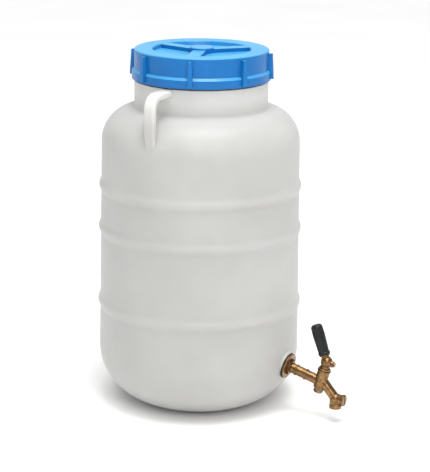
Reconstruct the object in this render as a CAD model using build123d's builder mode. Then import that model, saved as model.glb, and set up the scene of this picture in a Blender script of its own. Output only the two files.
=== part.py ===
from build123d import *
from math import asin, cos, degrees, radians, sin, sqrt
import os

# Plastic fermenting bucket: a blow-moulded barrel with two loop handles, a screw
# lid with a flat gasket, and a brass plug tap held in the wall by a lock nut.
# Millimetres, +Z up, origin at the centre of the flat base. The tap faces -Y and
# the handles stand at +X and -X.

# ---- barrel body ----
wall = 3.0
base_flat_radius = 66.5
corner_radius = 84.0
side_radius_low = base_flat_radius + corner_radius
side_radius_high = 146.0
shoulder_z = 397.0
shoulder_top_z = 447.0
bead_heights = (155.0, 268.0, 332.0)
bead_rise = 3.0
bead_reach = 11.0
base_groove_inner = 24.0
base_groove_outer = 50.0
base_groove_depth = 3.0
groove_slope = 3.0

# ---- neck ----
neck_radius = 98.0
neck_foot = 4.0
ledge_z = 487.0
finish_radius = 91.0
rim_z = 526.0
rim_edge = 1.2

# ---- screw thread between neck and lid ----
pitch = 8.0
thread_turns = 1.5
thread_height = 3.0
thread_root_width = 4.0
thread_tip_width = 2.0
thread_bite = 0.6
neck_thread_z = 505.0
lid_thread_z = neck_thread_z - pitch / 2

# ---- loop handles ----
handle_width = 17.0
handle_thickness = 10.0
handle_reach = 149.0
handle_top_z = 486.3
handle_bend = 22.0
handle_straight_z = 432.0
handle_end_z = 404.0
handle_edge = 3.5
handle_root_bite = 1.0
handle_foot_bite = 1.5

# ---- lid ----
lid_top_z = 532.6
lid_bottom_z = 490.0
lid_radius = 98.3
lid_bore_radius = 94.8
lid_deck = 3.2
band_radius = 101.8
band_top_z = 505.0
band_bore_radius = 98.6
band_bore_top_z = 497.0
recess_radius = 72.0
recess_depth = 6.0
recess_slope = 2.0
lid_edge = 1.8
hub_radius = 17.5
hub_rise = 2.4
arm_count = 3
arm_width = 19.0
arm_angle = -40.5
arm_drop = 0.6
arm_bite = 1.0
lug_count = 8
lug_angle = 20.5
lug_radius = 106.0
lug_width = 8.0
lug_bottom_z = 492.0
lug_top_z = 528.5
lug_bite = 1.5
lug_draft = 3.0

# ---- gasket ----
gasket_inner_radius = 86.5
gasket_outer_radius = 94.2
gasket_gap = 0.1

# ---- edges and cutting margin ----
tiny_edge = 0.3
fine_edge = 0.6
soft_edge = 0.8
broad_edge = 1.2
cut_margin = 1.0

# ---- tap: place on the barrel ----
tap_z = 72.5
tap_droop = 14.5
land_radius = 20.5
land_outer = 1.0
land_inner = -7.2
tap_hole_radius = 10.6

# ---- tap body, lengths measured outward from the barrel wall ----
tail_radius = 10.48
tail_end = -32.0
tail_lead = 2.0
tail_groove_depth = 0.9
tail_groove_pitch = 1.814
tail_groove_count = 8
inlet_bore_radius = 7.0
seal_thickness = 2.0
flange_radius = 19.5
flange_thickness = 2.8
collar_flats = 21.0
collar_length = 4.0
tube_radius = 7.5
tube_bore_radius = 5.0
tube_bead_radius = 8.7
tube_bead_length = 2.2
tube_bead_places = (17.0, 33.0)
housing_reach = 59.5
housing_radius = 9.2
housing_lip_radius = 10.0
housing_lip = 2.2
housing_top = 20.0
housing_bottom = -10.0

# ---- tap outlet ----
outlet_reach = 24.4
outlet_drop = 22.5
outlet_lift = 4.0
outlet_radius = 7.4
outlet_bore_radius = 4.6
spout_radius = 8.7
spout_bore_radius = 6.0
spout_length = 13.8
spout_dome = 8.2
spout_lip_radius = 9.3
spout_lip = 5.0
spout_lip_slope = 0.8
end_boss_radius = 7.9
end_boss_reach = 10.4
end_bore_radius = 5.0

# ---- tap plug and lever ----
plug_top_radius = 6.6
plug_bottom_radius = 5.4
plug_clearance = 0.05
plug_port_radius = 4.0
plug_lift = 0.15
plug_collar_radius = 8.6
plug_collar = 3.0
plug_neck_radius = 6.6
head_height = 33.0
head_radius = 8.9
head_boss_radius = 5.8
head_boss_reach = 9.4
screw_boss_radius = 4.8
screw_boss_reach = 11.2
stud_radius = 4.0
stud_end = -18.0
lever_tilt = 34.0
shank_radius = 3.5
shank_start = -3.0
shank_end = 47.0
ferrule_radius = 7.9
ferrule_thickness = 2.4
grip_foot_radius = 8.1
grip_top_radius = 9.1
grip_length = 46.0
grip_dome = 5.0
grip_bead_radius = 8.9
grip_bead = 3.0
grip_step = 1.0
grip_swell = 8.0
grip_swell_place = 31.0
grip_top_draft = 0.6

# ---- small fasteners ----
nut_corner_ratio = 1.16
nut_bevel_share = 0.25
slip = 0.08
wall_washer_radius = 18.0
wall_washer = 1.5
wall_seal_radius = 17.0
lock_nut_flats = 30.0
lock_nut_height = 8.0
plug_washer_radius = 7.0
plug_washer = 1.2
plug_washer_gap = 0.1
split_washer_radius = 6.6
split_washer = 1.8
split_washer_slit = 1.0
plug_nut_flats = 13.0
plug_nut_height = 4.2
head_screw_radius = 2.0
head_screw_tip = 4.6
head_screw_head_radius = 3.6
head_screw_head = 2.6
screw_slot_width = 1.0
screw_slot_depth = 1.2
end_seal = 1.0
end_cap_radius = 8.6
end_cap = 3.2
end_cap_shank = 4.5
stop_pin_radius = 1.1
stop_pin_height = 2.2
stop_pin_depth = 5.0
stop_pin_offset = 8.1
stop_play_angle = 0.6
quarter_turn = 90.0

os.makedirs("parts", exist_ok=True)


def save(builder, name):
    """Label a finished piece and write it to its own STEP file."""
    builder.part.label = name
    export_step(builder.part, "parts/" + name + ".step")


def side_radius(z):
    """Outer radius of the slightly tapered side wall at height z."""
    share = (z - corner_radius) / (shoulder_z - corner_radius)
    return side_radius_low + (side_radius_high - side_radius_low) * share


def corner_wall_radius(z):
    """Outer radius of the rounded bottom corner at height z."""
    return base_flat_radius + sqrt(corner_radius**2 - (corner_radius - z) ** 2)


def middle(a, b):
    """Point halfway between two plane points."""
    return ((a[0] + b[0]) / 2, (a[1] + b[1]) / 2)


def bead(start, inset, z):
    """One soft ring bead at height z, from four arcs, after a straight run from start."""
    foot = (side_radius(z - bead_reach) - inset, z - bead_reach)
    head = (side_radius(z + bead_reach) - inset, z + bead_reach)
    crest = (side_radius(z) + bead_rise - inset, z)
    run = Line(start, foot)
    flare = TangentArc(foot, middle(foot, crest), tangent=run % 1)
    lower_crown = TangentArc(middle(foot, crest), crest, tangent=flare % 1)
    upper_crown = TangentArc(crest, middle(crest, head), tangent=lower_crown % 1)
    TangentArc(middle(crest, head), head, tangent=upper_crown % 1)
    return head


def body_outline(inset, top_z):
    """Closed half section of the barrel, set in by inset, from the base to top_z."""
    Polyline(
        (0, top_z),
        (0, inset),
        (base_groove_inner - inset / 2, inset),
        (base_groove_inner - inset / 2 + groove_slope, inset + base_groove_depth),
        (base_groove_outer + inset / 2 - groove_slope, inset + base_groove_depth),
        (base_groove_outer + inset / 2, inset),
        (base_flat_radius, inset),
    )
    CenterArc((base_flat_radius, corner_radius), corner_radius - inset, -90, 90)
    last = (side_radius_low - inset, corner_radius)
    for height in bead_heights:
        last = bead(last, inset, height)
    spring = (side_radius_high - inset, shoulder_z)
    foot = (neck_radius + neck_foot, shoulder_top_z - inset)
    neck_start = (neck_radius - inset, shoulder_top_z + neck_foot)
    Line(last, spring)
    TangentArc(spring, foot, tangent=(0, 1))
    TangentArc(foot, neck_start, tangent=(-1, 0))
    Polyline(
        neck_start,
        (neck_radius - inset, ledge_z - inset),
        (finish_radius - inset, ledge_z - inset),
        (finish_radius - inset, top_z),
        (0, top_z),
    )


def turn(origin, along, corners, mode=Mode.ADD):
    """Turn an outline of (distance, radius, rounding) corners about a line."""
    places = [(distance, radius) for distance, radius, _ in corners]
    roundings = [rounding for _, _, rounding in corners[1:-1]]
    with BuildSketch(Plane(origin=origin, x_dir=along, z_dir=(-1, 0, 0))) as outline:
        with BuildLine():
            FilletPolyline(*places, radius=roundings)
            Line(places[-1], places[0])
        make_face()
    revolve(outline.sketch, axis=Axis(origin, along), mode=mode)


def taper(inset, mode=Mode.ADD):
    """Cone of the plug seat, from the housing's bottom to its top, set in by inset."""
    turn(
        stem_point,
        tap_up,
        [
            (housing_bottom, 0, 0),
            (housing_bottom, plug_bottom_radius - inset, 0),
            (housing_top, plug_top_radius - inset, 0),
            (housing_top, 0, 0),
        ],
        mode=mode,
    )


def drill(plane, radius, start, end):
    """Cut a round hole along a plane's normal, from start to end."""
    with BuildSketch(plane.offset(start)) as circle:
        Circle(radius)
    extrude(circle.sketch, amount=end - start, mode=Mode.SUBTRACT)


def hexagon(plane, flats, start, height):
    """Six-sided block with the given distance across its flats."""
    with BuildSketch(plane.offset(start)) as outline:
        RegularPolygon(flats / 2, 6, major_radius=False)
    extrude(outline.sketch, amount=height)


def ring(name, plane, shaft_radius, radius, start, thickness, bevel):
    """Flat ring such as a washer or a seal, slipped over a shaft and saved as a piece."""
    with BuildPart() as piece:
        with BuildSketch(plane.offset(start)):
            Circle(radius)
            Circle(shaft_radius + slip, mode=Mode.SUBTRACT)
        extrude(amount=thickness)
        chamfer(piece.edges().filter_by(GeomType.CIRCLE), bevel)
    save(piece, name)


def nut(name, plane, flats, shaft_radius, start, height):
    """Hexagon nut, bevelled towards its start, slipped over a shaft and saved."""
    flat_radius = flats / 2
    nut_radius = flat_radius * nut_corner_ratio
    with BuildPart() as piece:
        hexagon(plane, flats, start, height)
        turn(
            plane.origin,
            plane.z_dir,
            [
                (start, 0, 0),
                (start, flat_radius, 0),
                (start + height * nut_bevel_share, nut_radius, 0),
                (start + height, nut_radius, 0),
                (start + height, 0, 0),
            ],
            mode=Mode.INTERSECT,
        )
        drill(plane, shaft_radius + slip, start, start + height)
    save(piece, name)


def thread_ridge(wall_radius, direction, first_z):
    """Helical ridge on a round wall, standing outward (+1) or inward (-1)."""
    root = wall_radius - direction * thread_bite
    tip = wall_radius + direction * thread_height
    with BuildPart(mode=Mode.PRIVATE) as ridge:
        with BuildLine() as path:
            Helix(pitch, pitch * thread_turns, wall_radius, center=(0, 0, first_z))
        with BuildSketch(Plane.XZ):
            with BuildLine():
                Polyline(
                    (root, first_z - thread_root_width / 2),
                    (tip, first_z - thread_tip_width / 2),
                    (tip, first_z + thread_tip_width / 2),
                    (root, first_z + thread_root_width / 2),
                    close=True,
                )
            make_face()
        sweep(path=path.line, is_frenet=True)
    return ridge.part


# ---- handle strap, an upside-down L that leaves the neck and lands on the shoulder ----
bend_x = handle_reach - handle_bend
bend_z = handle_top_z - handle_bend
strap_inner_x = handle_reach - handle_thickness
strap_under_z = handle_top_z - handle_thickness
inner_bend = handle_bend - handle_thickness
strap_root_x = neck_radius - wall - handle_root_bite
strap_foot_x = side_radius_high - handle_foot_bite

with BuildPart() as handle:
    with BuildSketch(Plane.XZ):
        with BuildLine():
            Line((strap_root_x, handle_top_z), (bend_x, handle_top_z))
            CenterArc((bend_x, bend_z), handle_bend, 0, 90)
            Polyline(
                (handle_reach, bend_z),
                (handle_reach, handle_straight_z),
                (strap_foot_x, handle_end_z),
                (strap_inner_x - handle_thickness, handle_end_z),
                (strap_inner_x, handle_straight_z - handle_thickness),
                (strap_inner_x, bend_z),
            )
            CenterArc((bend_x, bend_z), inner_bend, 0, 90)
            Polyline(
                (bend_x, strap_under_z),
                (strap_root_x, strap_under_z),
                (strap_root_x, handle_top_z),
            )
        make_face()
    extrude(amount=handle_width / 2, both=True)
    fillet(handle.edges().filter_by(Axis.Y, reverse=True), handle_edge)

# ---- tap axis: the plane's normal runs out of the wall, its y runs up the tap ----
tap_out = Vector(0, -cos(radians(tap_droop)), -sin(radians(tap_droop)))
tap_up = Vector(0, -sin(radians(tap_droop)), cos(radians(tap_droop)))
wall_point = Vector(0, -corner_wall_radius(tap_z), tap_z)
tap_plane = Plane(origin=wall_point, x_dir=(1, 0, 0), z_dir=tap_out)
stem_point = wall_point + tap_out * housing_reach
stem_plane = Plane(origin=stem_point, x_dir=(1, 0, 0), z_dir=tap_up)

# ---- barrel ----
with BuildPart() as barrel:
    with BuildSketch(Plane.XZ):
        with BuildLine():
            body_outline(0, rim_z)
        make_face()
    revolve(axis=Axis.Z)
    with PolarLocations(0, 2):
        add(handle.part)
    with BuildSketch(Plane.XZ):
        with BuildLine():
            body_outline(wall, rim_z + cut_margin)
        make_face()
    revolve(axis=Axis.Z, mode=Mode.SUBTRACT)
    with BuildSketch(tap_plane.offset(land_inner)):
        Circle(land_radius)
    extrude(amount=land_outer - land_inner)
    drill(tap_plane, tap_hole_radius, tail_end, land_outer + seal_thickness)
    fillet(barrel.edges().group_by(Axis.Z)[-1], rim_edge)
    add(thread_ridge(finish_radius, 1, neck_thread_z))
save(barrel, "barrel")

# ---- lid ----
lid_under_z = lid_top_z - lid_deck
floor_top_z = lid_top_z - recess_depth
floor_under_z = floor_top_z - lid_deck
arm_root_z = floor_under_z + arm_bite
lug_root_radius = lid_radius - lug_bite

with BuildPart() as lid:
    with BuildSketch(Plane.XZ):
        with BuildLine():
            Polyline(
                (0, floor_under_z),
                (recess_radius + lid_deck, floor_under_z),
                (recess_radius + lid_deck, lid_under_z),
                (lid_bore_radius, lid_under_z),
                (lid_bore_radius, band_bore_top_z + band_bore_radius - lid_bore_radius),
                (band_bore_radius, band_bore_top_z),
                (band_bore_radius, lid_bottom_z),
                (band_radius, lid_bottom_z),
                (band_radius, band_top_z - (band_radius - lid_radius)),
                (lid_radius, band_top_z),
                (lid_radius, lid_top_z),
                (recess_radius, lid_top_z),
                (recess_radius - recess_slope, floor_top_z),
                (0, floor_top_z),
                close=True,
            )
        make_face()
    revolve(axis=Axis.Z)
    fillet(lid.edges().filter_by(GeomType.CIRCLE).group_by(Axis.Z)[-1], lid_edge)
    with BuildSketch(Plane.XY.offset(floor_under_z)):
        Circle(hub_radius)
    extrude(amount=lid_top_z + hub_rise - floor_under_z)
    fillet(lid.faces().sort_by(Axis.Z)[-1].edges(), lid_edge)
    with BuildSketch(Plane.XY.offset(arm_root_z)):
        with PolarLocations(0, arm_count, start_angle=arm_angle):
            Rectangle(
                recess_radius + arm_bite, arm_width, align=(Align.MIN, Align.CENTER)
            )
    extrude(amount=lid_top_z - arm_drop - arm_root_z)
    with BuildSketch(Plane.XY.offset(lug_bottom_z)):
        with PolarLocations(lug_root_radius, lug_count, start_angle=lug_angle):
            Rectangle(
                lug_radius - lug_root_radius,
                lug_width,
                align=(Align.MIN, Align.CENTER),
            )
    extrude(amount=lug_top_z - lug_bottom_z, taper=lug_draft)
    add(thread_ridge(lid_bore_radius, -1, lid_thread_z))
save(lid, "lid")

# ---- gasket: flat ring under the lid's deck, above the neck's rim ----
with BuildPart() as lid_gasket:
    with BuildSketch(Plane.XY.offset(rim_z + gasket_gap)):
        Circle(gasket_outer_radius)
        Circle(gasket_inner_radius, mode=Mode.SUBTRACT)
    extrude(amount=lid_under_z - rim_z - 2 * gasket_gap)
    fillet(lid_gasket.edges(), fine_edge)
save(lid_gasket, "lid_gasket")

# ---- tap: places along its own axes ----
outlet_point = stem_point + Vector(0, -outlet_reach, -outlet_drop)
spout_bottom = outlet_point - Vector(0, 0, spout_length)
outlet_start = stem_point + tap_up * outlet_lift
outlet_way = (outlet_point - outlet_start).normalized()
outlet_run = (outlet_point - outlet_start).length
outlet_plane = Plane(origin=outlet_start, x_dir=(1, 0, 0), z_dir=outlet_way)
end_way = Vector(0, -1, 0)
end_plane = Plane(origin=outlet_point, x_dir=(1, 0, 0), z_dir=end_way)
spout_plane = Plane(origin=spout_bottom, x_dir=(1, 0, 0), z_dir=(0, 0, 1))
flange_foot = land_outer + seal_thickness
collar_foot = flange_foot + flange_thickness

# ---- tap body: threaded tail, flange, wrench collar, tube, plug housing, spout ----
with BuildPart() as tap_body:
    turn(
        wall_point,
        tap_out,
        [
            (tail_end, 0, 0),
            (tail_end, tail_radius, broad_edge),
            (flange_foot, tail_radius, 0),
            (flange_foot, flange_radius, soft_edge),
            (collar_foot, flange_radius, broad_edge),
            (collar_foot, tube_radius, 0),
            (housing_reach, tube_radius, 0),
            (housing_reach, 0, 0),
        ],
    )
    for groove in range(tail_groove_count):
        groove_start = tail_end + tail_lead + groove * tail_groove_pitch
        with BuildSketch(tap_plane.offset(groove_start)):
            Circle(tail_radius + cut_margin)
            Circle(tail_radius - tail_groove_depth, mode=Mode.SUBTRACT)
        extrude(amount=tail_groove_pitch / 2, mode=Mode.SUBTRACT)
    hexagon(tap_plane, collar_flats, collar_foot, collar_length)
    for place in tube_bead_places:
        turn(
            wall_point,
            tap_out,
            [
                (place, 0, 0),
                (place, tube_bead_radius, soft_edge),
                (place + tube_bead_length, tube_bead_radius, soft_edge),
                (place + tube_bead_length, 0, 0),
            ],
        )
    turn(
        stem_point,
        tap_up,
        [
            (housing_bottom, 0, 0),
            (housing_bottom, housing_radius, soft_edge),
            (housing_top - housing_lip, housing_radius, 0),
            (housing_top - housing_lip, housing_lip_radius, fine_edge),
            (housing_top, housing_lip_radius, soft_edge),
            (housing_top, 0, 0),
        ],
    )
    with BuildSketch(outlet_plane):
        Circle(outlet_radius)
    extrude(amount=outlet_run)
    turn(
        spout_bottom,
        Vector(0, 0, 1),
        [
            (0, 0, 0),
            (0, spout_lip_radius, fine_edge),
            (spout_lip, spout_lip_radius, 0),
            (spout_lip + spout_lip_slope, spout_radius, 0),
            (spout_length + spout_radius, spout_radius, spout_dome),
            (spout_length + spout_radius, 0, 0),
        ],
    )
    with BuildSketch(end_plane):
        Circle(end_boss_radius)
    extrude(amount=end_boss_reach)
    drill(tap_plane, inlet_bore_radius, tail_end, 0)
    drill(tap_plane, tube_bore_radius, -cut_margin, housing_reach)
    drill(outlet_plane, outlet_bore_radius, 0, outlet_run)
    drill(spout_plane, spout_bore_radius, 0, spout_length)
    drill(end_plane, end_bore_radius, -spout_bore_radius, end_boss_reach)
    taper(0, mode=Mode.SUBTRACT)
    with BuildSketch(stem_plane.offset(housing_top - stop_pin_depth)):
        with Locations((0, stop_pin_offset)):
            Circle(stop_pin_radius + slip)
    extrude(amount=stop_pin_depth, mode=Mode.SUBTRACT)
save(tap_body, "tap_body")

# ---- rings and nut that clamp the tap in the wall ----
inner_seal_start = land_inner - seal_thickness
inner_washer_start = inner_seal_start - wall_washer
lock_nut_start = inner_washer_start - lock_nut_height
ring(
    "outer_seal",
    tap_plane,
    tail_radius,
    flange_radius,
    land_outer,
    seal_thickness,
    fine_edge,
)
ring(
    "inner_seal",
    tap_plane,
    tail_radius,
    wall_seal_radius,
    inner_seal_start,
    seal_thickness,
    fine_edge,
)
ring(
    "inner_washer",
    tap_plane,
    tail_radius,
    wall_washer_radius,
    inner_washer_start,
    wall_washer,
    tiny_edge,
)

nut(
    "lock_nut", tap_plane, lock_nut_flats, tail_radius, lock_nut_start, lock_nut_height
)

# ---- plug: taper with a cross port, ball head with a lever socket and a screw boss ----
head_point = stem_point + tap_up * head_height
lever_way = (
    tap_up * cos(radians(lever_tilt)) - tap_out * sin(radians(lever_tilt))
).normalized()
head_plane = Plane(origin=head_point, x_dir=(1, 0, 0), z_dir=tap_out)
lever_plane = Plane(origin=head_point, x_dir=(1, 0, 0), z_dir=lever_way)
port_plane = Plane(origin=stem_point, x_dir=(0, 1, 0), z_dir=(1, 0, 0))
collar_start = housing_top + plug_lift
collar_end = collar_start + plug_collar
pin_half_angle = degrees(asin(stop_pin_radius / stop_pin_offset)) + stop_play_angle
notch_radius = plug_collar_radius + cut_margin
notch_start = -pin_half_angle
notch_size = quarter_turn + 2 * pin_half_angle

with BuildPart() as tap_plug:
    taper(plug_clearance)
    drill(port_plane, plug_port_radius, -plug_top_radius, plug_top_radius)
    turn(
        stem_point,
        tap_up,
        [
            (stud_end, 0, 0),
            (stud_end, stud_radius, soft_edge),
            (housing_bottom, stud_radius, 0),
            (housing_bottom, 0, 0),
        ],
    )
    turn(
        stem_point,
        tap_up,
        [
            (housing_top, 0, 0),
            (housing_top, plug_top_radius - plug_clearance, 0),
            (collar_start, plug_top_radius - plug_clearance, 0),
            (collar_start, plug_collar_radius, fine_edge),
            (collar_end, plug_collar_radius, soft_edge),
            (collar_end, plug_neck_radius, 0),
            (head_height, plug_neck_radius, 0),
            (head_height, 0, 0),
        ],
    )
    with BuildSketch(stem_plane.offset(collar_start)):
        with BuildLine():
            rim = CenterArc((0, 0), notch_radius, notch_start, notch_size)
            root = CenterArc((0, 0), plug_top_radius, notch_start, notch_size)
            Line(rim @ 0, root @ 0)
            Line(rim @ 1, root @ 1)
        make_face()
    extrude(amount=stop_pin_height + plug_lift, mode=Mode.SUBTRACT)
    with Locations(head_point):
        Sphere(head_radius)
    with BuildSketch(lever_plane):
        Circle(head_boss_radius)
    extrude(amount=head_boss_reach)
    turn(
        head_point,
        tap_out,
        [
            (0, 0, 0),
            (0, screw_boss_radius, 0),
            (screw_boss_reach, screw_boss_radius, soft_edge),
            (screw_boss_reach, 0, 0),
        ],
    )
    drill(lever_plane, shank_radius + slip, shank_start, head_boss_reach)
    drill(head_plane, head_screw_radius + slip, 0, screw_boss_reach)
save(tap_plug, "tap_plug")

# ---- rings and nut under the plug ----
plug_washer_start = housing_bottom - plug_washer_gap - plug_washer
split_washer_start = plug_washer_start - split_washer
plug_nut_start = split_washer_start - plug_nut_height
ring(
    "plug_washer",
    stem_plane,
    stud_radius,
    plug_washer_radius,
    plug_washer_start,
    plug_washer,
    tiny_edge,
)

with BuildPart() as split_washer_ring:
    with BuildSketch(stem_plane.offset(split_washer_start)):
        Circle(split_washer_radius)
        Circle(stud_radius + slip, mode=Mode.SUBTRACT)
        with Locations((0, (split_washer_radius + stud_radius) / 2)):
            Rectangle(split_washer_slit, split_washer_radius, mode=Mode.SUBTRACT)
    extrude(amount=split_washer)
save(split_washer_ring, "split_washer")

nut(
    "plug_nut", stem_plane, plug_nut_flats, stud_radius, plug_nut_start, plug_nut_height
)

# ---- stop pin that the plug's quarter turn ends against ----
with BuildPart() as stop_pin:
    with BuildSketch(stem_plane.offset(housing_top - stop_pin_depth)):
        with Locations((0, stop_pin_offset)):
            Circle(stop_pin_radius)
    extrude(amount=stop_pin_depth + stop_pin_height)
    chamfer(stop_pin.edges().sort_by(Axis.Z)[-1], tiny_edge)
save(stop_pin, "stop_pin")

# ---- lever: shank through ferrule and grip ----
grip_start = head_boss_reach + ferrule_thickness
grip_end = grip_start + grip_length
with BuildPart() as lever_shank:
    turn(
        head_point,
        lever_way,
        [
            (shank_start, 0, 0),
            (shank_start, shank_radius, fine_edge),
            (shank_end, shank_radius, soft_edge),
            (shank_end, 0, 0),
        ],
    )
save(lever_shank, "lever_shank")

ring(
    "lever_ferrule",
    lever_plane,
    shank_radius,
    ferrule_radius,
    head_boss_reach,
    ferrule_thickness,
    fine_edge,
)

with BuildPart() as lever_grip:
    turn(
        head_point,
        lever_way,
        [
            (grip_start, 0, 0),
            (grip_start, grip_bead_radius, soft_edge),
            (grip_start + grip_bead, grip_bead_radius, soft_edge),
            (grip_start + grip_bead + grip_step, grip_foot_radius, soft_edge),
            (grip_start + grip_swell_place, grip_top_radius, grip_swell),
            (grip_end, grip_top_radius - grip_top_draft, grip_dome),
            (grip_end, 0, 0),
        ],
    )
    drill(lever_plane, shank_radius + slip, grip_start, shank_end + slip)
save(lever_grip, "lever_grip")

with BuildPart() as head_screw:
    turn(
        head_point,
        tap_out,
        [
            (head_screw_tip, 0, 0),
            (head_screw_tip, head_screw_radius, tiny_edge),
            (screw_boss_reach, head_screw_radius, 0),
            (screw_boss_reach, head_screw_head_radius, 0),
            (screw_boss_reach + head_screw_head, head_screw_head_radius, soft_edge),
            (screw_boss_reach + head_screw_head, 0, 0),
        ],
    )
    slot_floor = screw_boss_reach + head_screw_head - screw_slot_depth
    with BuildSketch(head_plane.offset(slot_floor)):
        Rectangle(screw_slot_width, 2 * (head_screw_head_radius + cut_margin))
    extrude(amount=screw_slot_depth, mode=Mode.SUBTRACT)
save(head_screw, "head_screw")

# ---- cleaning cap and its seal on the end of the outlet ----
ring(
    "end_seal",
    end_plane,
    end_bore_radius,
    end_boss_radius,
    end_boss_reach,
    end_seal,
    tiny_edge,
)
cap_start = end_boss_reach + end_seal
with BuildPart() as end_cap_plug:
    turn(
        outlet_point,
        end_way,
        [
            (cap_start - end_cap_shank, 0, 0),
            (cap_start - end_cap_shank, end_bore_radius - slip, fine_edge),
            (cap_start, end_bore_radius - slip, 0),
            (cap_start, end_cap_radius, fine_edge),
            (cap_start + end_cap, end_cap_radius, broad_edge),
            (cap_start + end_cap, 0, 0),
        ],
    )
    with BuildSketch(end_plane.offset(cap_start + end_cap - screw_slot_depth)):
        Rectangle(2 * screw_slot_width, 2 * (end_cap_radius + cut_margin))
    extrude(amount=screw_slot_depth, mode=Mode.SUBTRACT)
save(end_cap_plug, "end_cap")
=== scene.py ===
import math

import bpy
from mathutils import Matrix, Vector


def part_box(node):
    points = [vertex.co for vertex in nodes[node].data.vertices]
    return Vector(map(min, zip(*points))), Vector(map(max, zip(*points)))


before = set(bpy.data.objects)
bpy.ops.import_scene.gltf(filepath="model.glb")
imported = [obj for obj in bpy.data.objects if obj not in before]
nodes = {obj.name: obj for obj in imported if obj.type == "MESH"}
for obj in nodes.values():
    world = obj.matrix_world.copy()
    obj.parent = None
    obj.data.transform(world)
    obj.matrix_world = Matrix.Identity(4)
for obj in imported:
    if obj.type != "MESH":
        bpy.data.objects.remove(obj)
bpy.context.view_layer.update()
scene = bpy.context.scene

# ---- the view: metres and degrees, with sensor and lens in millimetres ----
CAMERA_TURN = 60.5
CAMERA_DISTANCE = 2.341
CAMERA_HEIGHT = 0.901
AIM_HEIGHT = 0.260
CAMERA_ROLL = 0.6
SENSOR_WIDTH = 36
LENS = 123.56
# fractions of the sensor's width
SHIFT = (0.0321, -0.0148)
VIEW_RANGE = 100

# ---- studio: metres, degrees and watts; the sky in watts per square metre ----
FLOOR_SIZE = 60.0
# where the walls end and the ceiling starts, as the Z of the direction looked in
WALL_TOP = 0.30
CEILING_START = 0.60
WALL_COLOUR = (0.66, 0.66, 0.66)
CEILING_COLOUR = (0.30, 0.30, 0.30)
LAMP_AIM = (0, 0, 0.35)
# name: degrees to the right of the camera, distance, height, size, power
LAMPS = {
    "top": (20, 0.55, 2.3, 0.9, 22),
    "key": (10, 2.0, 1.6, 1.2, 16),
    "rim": (120, 2.0, 0.9, 1.0, 1),
}
SKY_POWER = 1.95
SKY_SPREAD = 70
SKY_HEIGHT = 3

# ---- painted light: the neck is painted whiter than the wall below it, standing in for light that comes through it ----
BARREL_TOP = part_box("barrel")[1][2]
NECK_START = BARREL_TOP - 0.086
NECK_FULL = BARREL_TOP - 0.056

# rays for each point where a material paints shade into its corners
CREVICE_SAMPLES = 8


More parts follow.
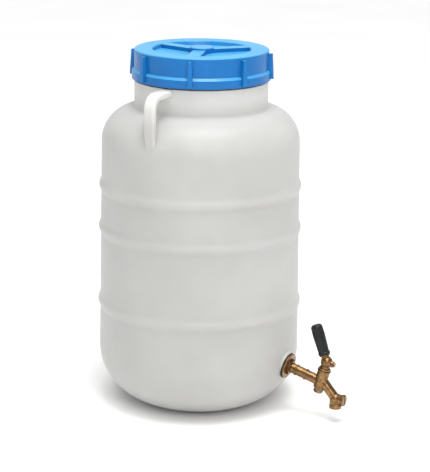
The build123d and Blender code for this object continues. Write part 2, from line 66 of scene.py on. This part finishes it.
# ---- shader building blocks ----
class Shader:
    """A material and short calls that add nodes to it."""

    def __init__(self, name):
        self.material = bpy.data.materials.new(name)
        self.material.use_nodes = True
        self.tree = self.material.node_tree
        self.surface = self.tree.nodes["Principled BSDF"]
        self.place = self.tree.nodes.new("ShaderNodeTexCoord").outputs["Object"]

    def set(self, **values):
        """Sets uniform values on the shader's own sockets."""
        for socket, value in values.items():
            self.surface.inputs[socket.replace("_", " ")].default_value = value

    def link(self, source, target):
        """Joins one node's output to another node's input."""
        self.tree.links.new(source, target)

    def stretched(self, scale):
        """Object coordinates scaled by a vector, so that a pattern can run one way."""
        mapping = self.tree.nodes.new("ShaderNodeMapping")
        mapping.inputs["Scale"].default_value = scale
        self.link(self.place, mapping.inputs["Vector"])
        return mapping.outputs["Vector"]

    def height(self, vector):
        """The Z part of a vector."""
        split = self.tree.nodes.new("ShaderNodeSeparateXYZ")
        self.link(vector, split.inputs["Vector"])
        return split.outputs["Z"]

    def noise(self, scale, detail=4.0, roughness=0.55, place=None):
        """A grey cloud pattern, finer as scale rises."""
        node = self.tree.nodes.new("ShaderNodeTexNoise")
        node.inputs["Scale"].default_value = scale
        node.inputs["Detail"].default_value = detail
        node.inputs["Roughness"].default_value = roughness
        self.link(place or self.place, node.inputs["Vector"])
        return node.outputs["Fac"]

    def ramp(self, source, low, high, start=0.35, end=0.65):
        """Maps a grey pattern to a colour between low and high."""
        node = self.tree.nodes.new("ShaderNodeValToRGB")
        node.color_ramp.elements[0].position = start
        node.color_ramp.elements[0].color = (*low, 1)
        node.color_ramp.elements[1].position = end
        node.color_ramp.elements[1].color = (*high, 1)
        self.link(source, node.inputs["Fac"])
        return node.outputs["Color"]

    def span(self, source, low, high, start=0.0, end=1.0):
        """Maps the range start to end of a pattern to the range low to high."""
        node = self.tree.nodes.new("ShaderNodeMapRange")
        node.inputs["From Min"].default_value = start
        node.inputs["From Max"].default_value = end
        node.inputs["To Min"].default_value = low
        node.inputs["To Max"].default_value = high
        self.link(source, node.inputs["Value"])
        return node.outputs["Result"]

    def mix(self, amount, first, second):
        """Goes from the first colour to the second as amount rises."""
        node = self.tree.nodes.new("ShaderNodeMix")
        node.data_type = "RGBA"
        # sockets share names between data types, so the colour ones go by number
        first_socket, second_socket, result = 6, 7, 2
        for socket, value in (
            ("Factor", amount),
            (first_socket, first),
            (second_socket, second),
        ):
            if isinstance(value, (int, float)):
                node.inputs[socket].default_value = value
            elif isinstance(value, tuple):
                node.inputs[socket].default_value = (*value, 1)
            else:
                self.link(value, node.inputs[socket])
        return node.outputs[result]

    def bump(self, height, strength, distance, under=None):
        """Turns a grey pattern to relief, on top of the relief under it if given."""
        node = self.tree.nodes.new("ShaderNodeBump")
        node.inputs["Strength"].default_value = strength
        node.inputs["Distance"].default_value = distance
        self.link(height, node.inputs["Height"])
        if under is not None:
            self.link(under, node.inputs["Normal"])
        return node.outputs["Normal"]

    def painted_corner_shade(self, reach, most):
        """Rises from 0 in the open to most in tight corners, as painted shade."""
        node = self.tree.nodes.new("ShaderNodeAmbientOcclusion")
        node.inputs["Distance"].default_value = reach
        node.samples = CREVICE_SAMPLES
        return self.span(node.outputs["AO"], low=most, high=0.0)

    def upward(self, most):
        """Rises from 0 on walls to most on surfaces that face up."""
        normal = self.tree.nodes.new("ShaderNodeNewGeometry").outputs["Normal"]
        return self.span(self.height(normal), low=0.0, high=most)

    def finish(self, colour, roughness, normal):
        """Links the finished patterns to the shader and gives the material."""
        self.link(colour, self.surface.inputs["Base Color"])
        self.link(roughness, self.surface.inputs["Roughness"])
        self.link(normal, self.surface.inputs["Normal"])
        return self.material


# ---- materials ----
def natural_polyethylene():
    """Milky blow-moulded polyethylene: cloudy, faintly streaked up the wall."""
    s = Shader("natural_polyethylene")
    s.set(IOR=1.5, Specular_IOR_Level=0.28)
    s.set(Subsurface_Weight=0.35, Subsurface_Scale=0.02)
    s.set(Subsurface_Radius=(1.0, 0.95, 0.85))
    clouds = s.ramp(
        s.noise(scale=9, detail=3),
        low=(0.48, 0.475, 0.458),
        high=(0.54, 0.535, 0.515),
        start=0.3,
        end=0.7,
    )
    along_wall = s.stretched((1, 1, 0.12))
    streaks = s.noise(scale=14, roughness=0.5, place=along_wall)
    wall = s.mix(s.span(streaks, low=0.0, high=0.22), clouds, (0.44, 0.435, 0.41))
    # painted light: the colour turns whiter towards the neck, standing in for light
    # that comes through it
    neck = s.span(
        s.height(s.place), low=0.0, high=0.62, start=NECK_START, end=NECK_FULL
    )
    colour = s.mix(neck, wall, (0.74, 0.735, 0.71))
    skin = s.bump(s.noise(scale=420, detail=5), strength=0.10, distance=0.0006)
    across_wall = s.stretched((1, 1, 0.5))
    waviness = s.noise(scale=16, detail=2, roughness=0.4, place=across_wall)
    waves = s.bump(waviness, strength=0.16, distance=0.004, under=skin)
    return s.finish(colour, s.span(s.noise(scale=30), low=0.34, high=0.46), waves)


def lid_plastic():
    """Blue moulded polypropylene, satin, with a painted sheen lighter where it faces
    up and painted shade in its corners.
    """
    s = Shader("lid_plastic")
    s.set(IOR=1.5, Specular_IOR_Level=0.32)
    tone = s.ramp(
        s.noise(scale=22, detail=3),
        low=(0.003, 0.13, 0.40),
        high=(0.006, 0.16, 0.47),
        start=0.3,
        end=0.7,
    )
    # painted reflection: a paler blue standing in for the sheen of the sky on faces
    # that point up
    painted_sheen = s.ramp(
        s.noise(scale=35),
        low=(0.06, 0.40, 0.70),
        high=(0.09, 0.46, 0.76),
        start=0.3,
        end=0.7,
    )
    with_painted_sheen = s.mix(s.upward(most=0.78), tone, painted_sheen)
    # painted shade: a darker blue in the lid's corners and recesses
    colour = s.mix(s.painted_corner_shade(reach=0.006, most=0.4), with_painted_sheen, (0.002, 0.08, 0.26))
    grain = s.bump(s.noise(scale=900), strength=0.12, distance=0.0004)
    flow = s.noise(scale=28, detail=2, roughness=0.4)
    skin = s.bump(flow, strength=0.06, distance=0.002, under=grain)
    return s.finish(colour, s.span(s.noise(scale=60), low=0.24, high=0.36), skin)


def aged_brass():
    """Cast and turned brass, brown with handling, with painted shade darkening its
    corners.
    """
    s = Shader("aged_brass")
    s.set(Metallic=1.0)
    patina = s.ramp(
        s.noise(scale=160, detail=6, roughness=0.65),
        low=(0.070, 0.032, 0.014),
        high=(0.37, 0.215, 0.09),
    )
    blotches = s.ramp(
        s.noise(scale=45, detail=3),
        low=(0.28, 0.15, 0.09),
        high=(0.34, 0.215, 0.085),
        start=0.4,
        end=0.6,
    )
    worn = s.mix(0.35, patina, blotches)
    # painted shade: the brass goes near-black in its corners and between its parts
    colour = s.mix(s.painted_corner_shade(reach=0.004, most=0.9), worn, (0.025, 0.013, 0.007))
    cast = s.bump(s.noise(scale=700), strength=0.25, distance=0.0004)
    dents = s.noise(scale=90, detail=2)
    skin = s.bump(dents, strength=0.15, distance=0.0012, under=cast)
    gloss = s.span(s.noise(scale=120, detail=5), low=0.16, high=0.42)
    return s.finish(colour, gloss, skin)


def plain_steel():
    """Dull steel, gone grey and brown."""
    s = Shader("plain_steel")
    s.set(Metallic=1.0)
    colour = s.ramp(
        s.noise(scale=260, detail=5), low=(0.15, 0.13, 0.11), high=(0.32, 0.30, 0.28)
    )
    along_shank = s.stretched((1, 1, 0.2))
    drawn = s.noise(scale=1200, detail=3, roughness=0.5, place=along_shank)
    grain = s.bump(drawn, strength=0.15, distance=0.0003)
    return s.finish(colour, s.span(s.noise(scale=300), low=0.30, high=0.48), grain)


def grip_plastic():
    """Near-black moulded grip, satin, its gloss varying a little at random."""
    s = Shader("grip_plastic")
    s.set(IOR=1.5, Specular_IOR_Level=0.32)
    colour = s.ramp(
        s.noise(scale=120, detail=5),
        low=(0.005, 0.006, 0.007),
        high=(0.012, 0.014, 0.014),
    )
    grain = s.bump(s.noise(scale=1100, detail=5), strength=0.22, distance=0.0005)
    return s.finish(colour, s.span(s.noise(scale=80), low=0.30, high=0.48), grain)


def black_rubber():
    """Matt rubber seal with a dusting of bloom."""
    s = Shader("black_rubber")
    s.set(IOR=1.5, Specular_IOR_Level=0.4)
    colour = s.ramp(
        s.noise(scale=260, detail=6),
        low=(0.008, 0.008, 0.008),
        high=(0.030, 0.029, 0.027),
    )
    grain = s.bump(s.noise(scale=1500), strength=0.25, distance=0.0004)
    return s.finish(colour, s.span(s.noise(scale=200), low=0.62, high=0.82), grain)


FINISHES = (
    (natural_polyethylene, ("barrel",)),
    (lid_plastic, ("lid",)),
    (
        aged_brass,
        (
            "tap_body",
            "inner_washer",
            "lock_nut",
            "tap_plug",
            "plug_washer",
            "plug_nut",
            "lever_ferrule",
            "end_cap",
            "head_screw",
        ),
    ),
    (plain_steel, ("split_washer", "stop_pin", "lever_shank")),
    (grip_plastic, ("lever_grip",)),
    (black_rubber, ("lid_gasket", "outer_seal", "inner_seal", "end_seal")),
)


def dress_nodes():
    """Gives each carried-over CAD node its material."""
    for make, names in FINISHES:
        material = make()
        for name in names:
            mesh = nodes[name].data
            mesh.materials.clear()
            mesh.materials.append(material)


# ---- floor, light and camera ----
def pale_floor():
    """A matt, nearly white floor, so large that its edge is never seen."""
    bpy.ops.mesh.primitive_plane_add(size=FLOOR_SIZE)
    floor = bpy.context.object
    floor.name = "floor"
    s = Shader("floor_paper")
    s.set(Specular_IOR_Level=0.1)
    tone = s.ramp(s.noise(scale=3, detail=2), low=(0.96,) * 3, high=(0.98,) * 3)
    fibre = s.bump(s.noise(scale=900), strength=0.05, distance=0.0005)
    matt = s.span(s.noise(scale=40), low=0.85, high=0.95)
    floor.data.materials.append(s.finish(tone, matt, fibre))


def around(turn, distance, height):
    """A point so many degrees round to the right from the camera's direction."""
    angle = math.radians(turn - CAMERA_TURN - 90)
    return Vector((distance * math.cos(angle), distance * math.sin(angle), height))


def facing(place, aim):
    """The turn that points a lamp or camera standing at place to the aim."""
    return (Vector(aim) - place).to_track_quat("-Z", "Y")


def soft_lamp(name, turn, distance, height, size, power):
    """A square area lamp that points at the middle of the object."""
    data = bpy.data.lights.new(name, "AREA")
    data.size = size
    data.energy = power
    lamp = bpy.data.objects.new(name, data)
    scene.collection.objects.link(lamp)
    lamp.location = around(turn, distance, height)
    lamp.rotation_euler = facing(lamp.location, LAMP_AIM).to_euler()


def studio():
    """Pale walls around the stage, a dimmer ceiling, a soft sky and three lamps."""
    world = bpy.data.worlds.new("studio")
    scene.world = world
    world.use_nodes = True
    tree = world.node_tree
    place = tree.nodes.new("ShaderNodeTexCoord")
    split = tree.nodes.new("ShaderNodeSeparateXYZ")
    ramp = tree.nodes.new("ShaderNodeValToRGB")
    ramp.color_ramp.elements[0].position = WALL_TOP
    ramp.color_ramp.elements[0].color = (*WALL_COLOUR, 1)
    ramp.color_ramp.elements[1].position = CEILING_START
    ramp.color_ramp.elements[1].color = (*CEILING_COLOUR, 1)
    tree.links.new(place.outputs["Generated"], split.inputs["Vector"])
    tree.links.new(split.outputs["Z"], ramp.inputs["Fac"])
    tree.links.new(ramp.outputs["Color"], tree.nodes["Background"].inputs["Color"])
    for name, numbers in LAMPS.items():
        soft_lamp(name, *numbers)
    sun = bpy.data.lights.new("sky", "SUN")
    sun.angle = math.radians(SKY_SPREAD)
    sun.energy = SKY_POWER
    sky = bpy.data.objects.new("sky", sun)
    sky.location = (0, 0, SKY_HEIGHT)
    scene.collection.objects.link(sky)


def camera():
    """The photograph's view."""
    data = bpy.data.cameras.new("camera")
    data.sensor_width = SENSOR_WIDTH
    data.lens = LENS
    data.shift_x, data.shift_y = SHIFT
    data.clip_end = VIEW_RANGE
    eye = bpy.data.objects.new("camera", data)
    scene.collection.objects.link(eye)
    place = around(0, CAMERA_DISTANCE, CAMERA_HEIGHT)
    look = facing(place, (0, 0, AIM_HEIGHT)).to_matrix().to_4x4()
    roll = Matrix.Rotation(math.radians(CAMERA_ROLL), 4, "Z")
    eye.matrix_world = Matrix.Translation(place) @ look @ roll
    scene.camera = eye


dress_nodes()
pale_floor()
studio()
camera()
scene.view_settings.view_transform = "Standard"
